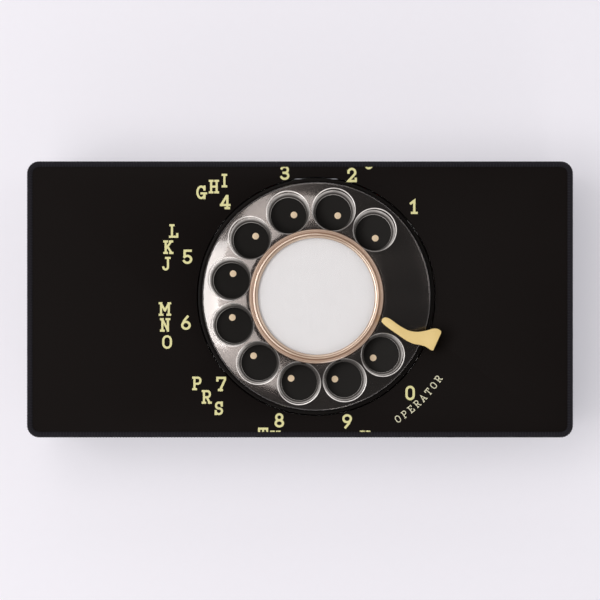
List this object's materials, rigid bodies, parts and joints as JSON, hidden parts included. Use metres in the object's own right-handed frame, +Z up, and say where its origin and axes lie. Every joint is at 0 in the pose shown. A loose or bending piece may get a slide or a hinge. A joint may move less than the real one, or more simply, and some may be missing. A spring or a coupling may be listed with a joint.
{
  "type": "rotary telephone",
  "caption": "Flat desk telephone with a clear rotary dial in its black top face, and a spring-driven dial movement, ringer and speech network inside.",
  "frame": {"origin": "under the middle of the case, where the feet stand", "axes": "+X to the user's right, +Y away from the user, +Z up"},
  "size_m": [0.182, 0.092, 0.0526],
  "materials": {
    "case_black": "fine matt texture",
    "face_print": "matt printed sheet",
    "trim": "satin extruded edging",
    "rubber": "matt",
    "zinc": "zinc-plated pressed steel",
    "steel": "bright",
    "brass": "satin",
    "number_plate": "matt enamel",
    "stop_enamel": "cream enamel",
    "clear_wheel": "polished clear smoke acrylic",
    "bezel": "polished peach acrylic",
    "clear": "polished clear sheet",
    "card": "white paper card",
    "spring_steel": "blued",
    "nylon": "moulded nylon",
    "fibre": "phenolic sheet",
    "copper": "enamelled copper wire",
    "magnet": "as cast",
    "gong": "nickel-plated",
    "can": "grey-green enamel",
    "lead": "red and green insulated wire"
  },
  "bodies": {
    "case": {"housing": "case_black", "face_sheet": "face_print", "edge_trim": "trim", "base_plate": "zinc", "rubber_feet": "rubber", "base_screws": "steel", "line_cord_grommet": "rubber", "handset_cord_grommet": "rubber", "number_plate": "number_plate", "finger_stop": "stop_enamel", "finger_stop_screw": "steel", "dial_frame": "zinc", "main_bearing": "brass", "frame_screws": "steel", "mainspring": "spring_steel", "bridge_plate": "zinc", "bridge_pillars": "brass", "pillar_screws": "steel", "governor_cup": "zinc", "governor_bracket": "zinc", "pulse_springs": "brass", "off_normal_springs": "brass", "spring_insulators": "fibre", "spring_brackets": "zinc", "ringer_frame": "steel", "ringer_coil": "copper", "coil_bobbin": "nylon", "ringer_magnet": "magnet", "gong_low": "gong", "gong_high": "gong", "gong_posts": "steel", "network_can": "can", "terminal_board": "fibre", "terminal_screws": "brass", "hookup_leads": "lead"},
    "dial": {"finger_wheel": "clear_wheel", "wheel_hub": "zinc", "main_shaft": "steel", "shaft_nut": "brass", "card_seat": "zinc", "number_card": "card", "card_window": "clear", "card_bezel": "bezel", "ratchet_wheel": "steel"},
    "gear_wheel": {"main_wheel": "brass", "click_spring": "steel"},
    "click": {"click_pawl": "steel"},
    "second_train": {"second_arbor": "steel", "pinion": "brass", "pulse_cam": "nylon", "worm_wheel": "nylon"},
    "governor": {"governor_shaft": "steel", "governor_worm": "steel", "governor_carrier": "brass"},
    "shoe_a": {"governor_shoe_a": "brass"},
    "shoe_b": {"governor_shoe_b": "brass"},
    "lever": {"pulse_lever": "fibre"},
    "striker": {"ringer_armature": "steel", "clapper": "brass"}
  },
  "joints": [
    {"name": "dial_spin", "type": "hinge", "parent": "case", "child": "dial", "pos_m": [0.0054, 0.001, 0.045], "axis": [0, 0, -1], "range_deg": [0, 330], "stiffness_Nm_per_rad": 0.006, "springref_deg": -143.24},
    {"name": "main_wheel_spin", "type": "hinge", "parent": "case", "child": "gear_wheel", "pos_m": [0.0054, 0.001, 0.025], "axis": [0, 0, -1], "range_deg": [0, 330]},
    {"name": "click_lift", "type": "hinge", "parent": "gear_wheel", "child": "click", "pos_m": [0.0158, 0.0076, 0.02705], "axis": [0, 0, 1], "range_deg": [0, 12], "stiffness_Nm_per_rad": 0.0005, "springref_deg": -17.19},
    {"name": "second_arbor_spin", "type": "hinge", "parent": "case", "child": "second_train", "pos_m": [-0.01215, 0.001, 0.022], "axis": [0, 0, 1], "range_deg": [0, 1980]},
    {"name": "governor_spin", "type": "hinge", "parent": "case", "child": "governor", "pos_m": [-0.0217, 0.001, 0.0185], "axis": [0, 1, 0], "range_deg": [0, 19800]},
    {"name": "shoe_a_swing", "type": "hinge", "parent": "governor", "child": "shoe_a", "pos_m": [-0.0166, 0.015, 0.0185], "axis": [0, -1, 0], "range_deg": [0, 5], "stiffness_Nm_per_rad": 0.0005, "springref_deg": -5.73},
    {"name": "shoe_b_swing", "type": "hinge", "parent": "governor", "child": "shoe_b", "pos_m": [-0.0268, 0.015, 0.0185], "axis": [0, -1, 0], "range_deg": [0, 5], "stiffness_Nm_per_rad": 0.0005, "springref_deg": -5.73},
    {"name": "pulse_lever_rock", "type": "hinge", "parent": "case", "child": "lever", "pos_m": [-0.0036, -0.008, 0.0216], "axis": [0, 0, 1], "range_deg": [-9, 0], "stiffness_Nm_per_rad": 0.002},
    {"name": "clapper_swing", "type": "hinge", "parent": "case", "child": "striker", "pos_m": [-0.0546, 0, 0.014], "axis": [0, 0, 1], "range_deg": [-7, 7], "stiffness_Nm_per_rad": 0.002}
  ],
  "couplings": [
    {"joint": "main_wheel_spin", "follows": "dial_spin", "ratio": 1},
    {"joint": "second_arbor_spin", "follows": "dial_spin", "ratio": 6},
    {"joint": "governor_spin", "follows": "dial_spin", "ratio": 60}
  ]
}
